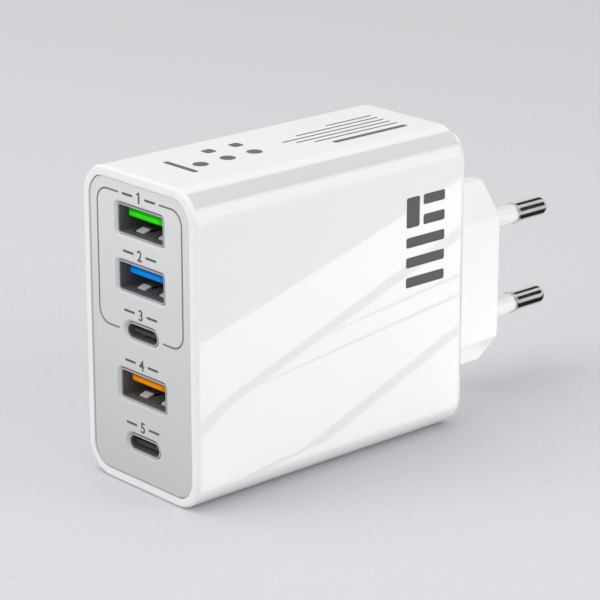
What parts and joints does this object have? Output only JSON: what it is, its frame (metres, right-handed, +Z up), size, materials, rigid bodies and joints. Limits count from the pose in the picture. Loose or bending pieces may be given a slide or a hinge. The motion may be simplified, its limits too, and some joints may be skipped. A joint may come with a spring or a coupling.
{
  "type": "fast charger",
  "caption": "Upright white wall charger with a grey socket panel on one narrow side and a two-pin mains plug on the opposite side.",
  "frame": {"origin": "middle of the flat underside of the housing", "axes": "+Z up along the height of the housing, -Y out of the socket panel, +Y along the plug pins, +X to the right seen from the front"},
  "size_m": [0.032, 0.1058, 0.06],
  "materials": {
    "white_shell": "gloss white moulded housing",
    "grey_panel": "fine matt light grey panel",
    "white_plug": "satin white plug block",
    "nickel": "polished nickel plate on brass",
    "sleeve": "matt white insulating sleeve",
    "bronze": "bare spring bronze",
    "socket_steel": "nickel-plated folded sheet",
    "green_tongue": "green moulded tongue",
    "blue_tongue": "blue moulded tongue",
    "orange_tongue": "orange moulded tongue",
    "black_tongue": "black moulded tongue",
    "gold_contacts": "gold-plated contacts",
    "circuit_board": "green solder mask",
    "yellow_film": "thin insulating film",
    "aluminium_sheet": "mill finish sheet",
    "aluminium_can": "drawn can",
    "ferrite": "sintered dark grey ferrite",
    "black_plastic": "black coil former",
    "yellow_tape": "taped winding",
    "black_sleeve": "shrunk sleeve",
    "yellow_case": "moulded case",
    "blue_coat": "dipped coat",
    "brown_case": "moulded case",
    "green_coat": "dipped coat",
    "black_epoxy": "moulded epoxy",
    "white_epoxy": "moulded epoxy",
    "copper": "enamelled copper"
  },
  "bodies": {
    "root": {"housing": "white_shell", "front_panel": "grey_panel", "plug_block": "white_plug", "pin_upper": "nickel", "pin_lower": "nickel", "pin_sleeve_upper": "sleeve", "pin_sleeve_lower": "sleeve", "contact_spring_upper": "bronze", "contact_spring_lower": "bronze", "port_board": "circuit_board", "main_board": "circuit_board", "insulating_film": "yellow_film", "heat_spreader": "aluminium_sheet", "transformer_core_lower": "ferrite", "transformer_core_upper": "ferrite", "coil_former": "black_plastic", "transformer_winding": "yellow_tape", "mains_capacitor_1": "black_sleeve", "mains_capacitor_2": "black_sleeve", "mains_capacitor_3": "black_sleeve", "filter_capacitor": "yellow_case", "disc_capacitor": "blue_coat", "output_capacitor_1": "aluminium_can", "output_capacitor_2": "aluminium_can", "fuse": "brown_case", "thermistor": "green_coat", "bridge_rectifier": "black_epoxy", "choke_ring": "ferrite", "choke_windings": "copper", "control_chip": "black_epoxy", "optocoupler": "white_epoxy", "rectifier_chip": "black_epoxy", "power_switch": "black_epoxy", "converter_inductor_1": "ferrite", "converter_inductor_2": "ferrite", "converter_inductor_3": "ferrite", "usb_a1_shell": "socket_steel", "usb_a1_tongue": "green_tongue", "usb_a1_contacts": "gold_contacts", "usb_a2_shell": "socket_steel", "usb_a2_tongue": "blue_tongue", "usb_a2_contacts": "gold_contacts", "usb_a3_shell": "socket_steel", "usb_a3_tongue": "orange_tongue", "usb_a3_contacts": "gold_contacts", "usb_c1_shell": "socket_steel", "usb_c1_tongue": "black_tongue", "usb_c1_contacts": "gold_contacts", "usb_c2_shell": "socket_steel", "usb_c2_tongue": "black_tongue", "usb_c2_contacts": "gold_contacts"}
  },
  "joints": []
}
